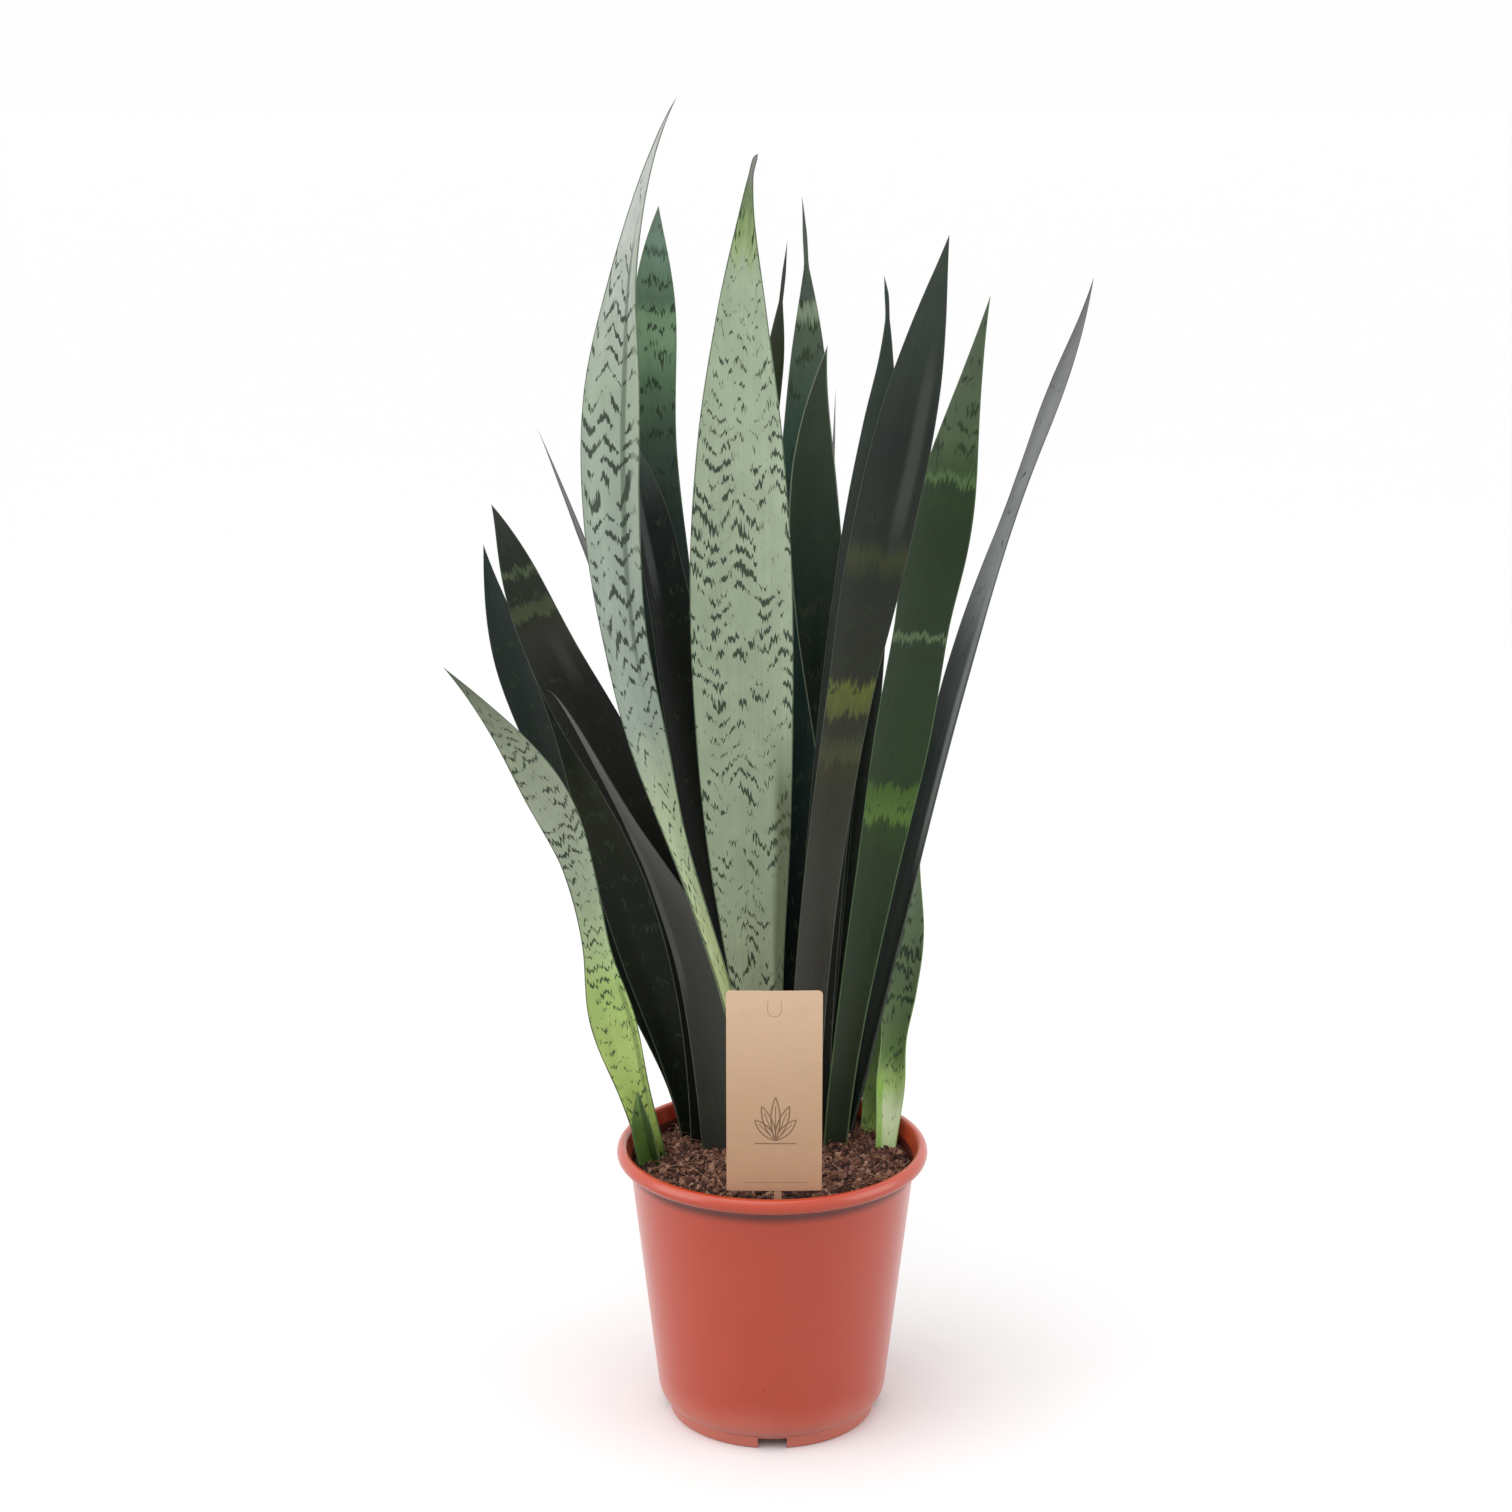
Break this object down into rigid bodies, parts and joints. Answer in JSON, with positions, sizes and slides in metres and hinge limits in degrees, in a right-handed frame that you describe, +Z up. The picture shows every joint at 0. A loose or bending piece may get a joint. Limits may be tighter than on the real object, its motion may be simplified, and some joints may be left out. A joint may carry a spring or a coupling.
{
  "type": "potted snake plant",
  "caption": "Upright snake plant with pale and dark banded strap leaves standing in a round tapered plastic nursery pot of potting mix, with a plain card tag on a tongue.",
  "frame": {"origin": "on the pot's axis, on the surface that the pot stands on, under the middle of the whole plant's box", "axes": "+Z up along the pot's axis and the leaves, -Y the front with the tag, +X to the right seen from the front"},
  "size_m": [0.344, 0.251, 0.7245],
  "materials": {
    "pot": "semi-gloss moulded terracotta-coloured plastic",
    "soil": "rough brown coir and peat potting mix",
    "plant_tag": "matte kraft card",
    "leaf_pale": "waxy, pale grey-green with dark green broken cross bands",
    "leaf_dark": "waxy, very dark green with faint olive cross bands",
    "leaf_green": "waxy, mid green with darker cross bands",
    "leaf_lime": "waxy, young whitish to lime green"
  },
  "bodies": {
    "root": {"pot": "pot", "soil": "soil", "plant_tag": "plant_tag", "leaf_sheath_left": "leaf_green", "leaf_pale_left": "leaf_pale", "leaf_dark_outer_left": "leaf_dark", "leaf_dark_banded_left": "leaf_dark", "leaf_dark_broad_left": "leaf_dark", "leaf_grey_twisted_left": "leaf_dark", "leaf_needle_left": "leaf_dark", "leaf_pale_tall": "leaf_pale", "leaf_green_back_left": "leaf_green", "leaf_dark_mid_left": "leaf_dark", "leaf_pale_centre": "leaf_pale", "leaf_narrow_back": "leaf_dark", "leaf_teal_back": "leaf_dark", "leaf_dark_mid_right": "leaf_dark", "leaf_needle_back": "leaf_dark", "leaf_dark_back_right": "leaf_dark", "leaf_dark_tall_right": "leaf_dark", "leaf_green_right": "leaf_green", "leaf_folded_far_right": "leaf_dark", "leaf_narrow_right": "leaf_dark", "leaf_mottled_right": "leaf_green", "leaf_young_pale_right": "leaf_lime", "leaf_young_green_right": "leaf_lime"}
  },
  "joints": []
}
